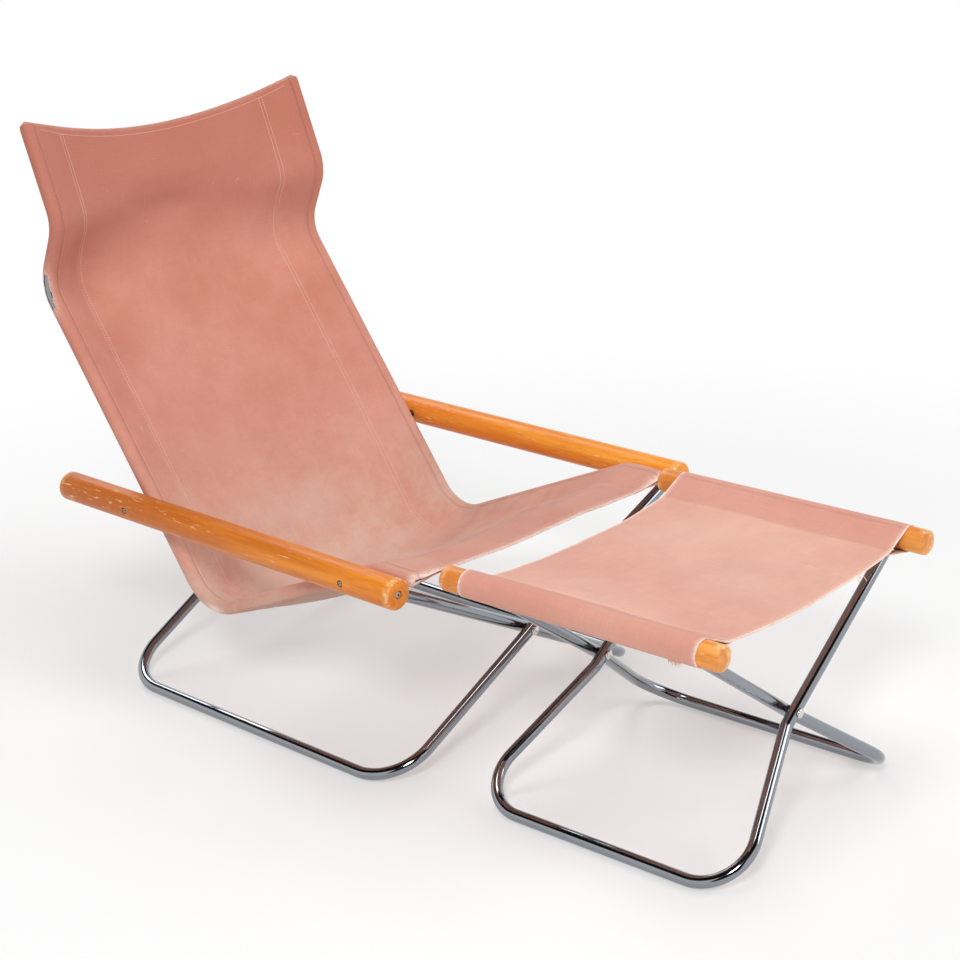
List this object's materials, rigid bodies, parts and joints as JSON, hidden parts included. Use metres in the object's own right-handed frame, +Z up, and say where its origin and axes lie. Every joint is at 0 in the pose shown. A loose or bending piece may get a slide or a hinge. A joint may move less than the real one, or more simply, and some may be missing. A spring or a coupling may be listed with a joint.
{
  "type": "folding lounge chair with footstool",
  "caption": "Low folding sling lounge chair with crossed chromed tube legs, round wooden arms and a canvas sling on bent side tubes, with a matching folding footstool.",
  "frame": {"origin": "on the floor, under the middle of the whole set's box", "axes": "+Z up, the sitter faces -Y, +X to the sitter's left"},
  "size_m": [0.641, 1.281, 0.8472],
  "materials": {
    "chromed_tube": "polished chromed tube, tarnished brown in places",
    "bolt_head": "bright plated steel",
    "dark_screw": "dark bronzed screw heads, worn bright in the middle",
    "arm_wood": "orange-brown varnish, scratched, paler at the ends",
    "dowel_wood": "orange-brown varnish, worn",
    "canvas": "faded salmon cotton canvas with stitched sleeves",
    "stool_canvas": "paler faded salmon cotton canvas",
    "black_plastic": "matt"
  },
  "bodies": {
    "left_side": {"arm_left": "arm_wood", "side_tube_left": "chromed_tube", "sling_sleeve_left": "canvas", "side_screw_left_front": "dark_screw", "side_screw_left_rear": "dark_screw", "side_spacer_left_front": "black_plastic", "side_spacer_left_rear": "black_plastic", "arm_left_end_screw_front": "dark_screw", "arm_left_end_screw_rear": "dark_screw", "sling_panel": "canvas"},
    "leg_frame_a": {"chair_frame_a": "chromed_tube", "chair_pivot_bolt_front": "bolt_head", "chair_pivot_bolt_rear": "bolt_head", "chair_pivot_nut_front": "bolt_head", "chair_pivot_nut_rear": "bolt_head", "chair_pivot_washer_front": "black_plastic", "chair_pivot_washer_rear": "black_plastic"},
    "leg_frame_b": {"chair_frame_b": "chromed_tube"},
    "right_side": {"arm_right": "arm_wood", "side_tube_right": "chromed_tube", "sling_sleeve_right": "canvas", "side_screw_right_front": "dark_screw", "side_screw_right_rear": "dark_screw", "side_spacer_right_front": "black_plastic", "side_spacer_right_rear": "black_plastic", "arm_right_end_screw_front": "dark_screw", "arm_right_end_screw_rear": "dark_screw"},
    "stool_frame_a": {"stool_frame_a": "chromed_tube", "stool_dowel_left": "dowel_wood", "stool_sleeve_left": "stool_canvas", "stool_panel": "stool_canvas", "dowel_screw_left_front": "dark_screw", "dowel_screw_left_rear": "dark_screw", "stool_pivot_bolt_front": "bolt_head", "stool_pivot_bolt_rear": "bolt_head", "stool_pivot_nut_front": "bolt_head", "stool_pivot_nut_rear": "bolt_head", "stool_pivot_washer_front": "black_plastic", "stool_pivot_washer_rear": "black_plastic"},
    "stool_frame_b": {"stool_frame_b": "chromed_tube", "stool_dowel_right": "dowel_wood", "stool_sleeve_right": "stool_canvas", "dowel_screw_right_front": "dark_screw", "dowel_screw_right_rear": "dark_screw"}
  },
  "joints": [
    {"name": "chair_fold", "type": "hinge", "parent": "left_side", "child": "leg_frame_a", "pos_m": [0.299, 0.18785, 0.31], "axis": [0, -1, 0], "range_deg": [0, 54], "deforming": ["sling_panel"]},
    {"name": "leg_crossing", "type": "hinge", "parent": "leg_frame_a", "child": "leg_frame_b", "pos_m": [0, 0.18785, 0.153], "axis": [0, 1, 0], "range_deg": [0, 108]},
    {"name": "right_arm_pivot", "type": "hinge", "parent": "leg_frame_b", "child": "right_side", "pos_m": [-0.299, 0.18785, 0.31], "axis": [0, -1, 0], "range_deg": [0, 54]},
    {"name": "stool_slide", "type": "slide", "parent": "left_side", "child": "stool_frame_a", "axis": [0, -1, 0], "range_m": [0, 0.3]},
    {"name": "stool_fold", "type": "hinge", "parent": "stool_frame_a", "child": "stool_frame_b", "pos_m": [-0.012, -0.41515, 0.1629], "axis": [-0.0368, 0.9993, 0], "range_deg": [0, 100], "deforming": ["stool_panel"]}
  ],
  "couplings": [
    {"joint": "leg_crossing", "follows": "chair_fold", "ratio": 2},
    {"joint": "right_arm_pivot", "follows": "chair_fold", "ratio": 1}
  ]
}
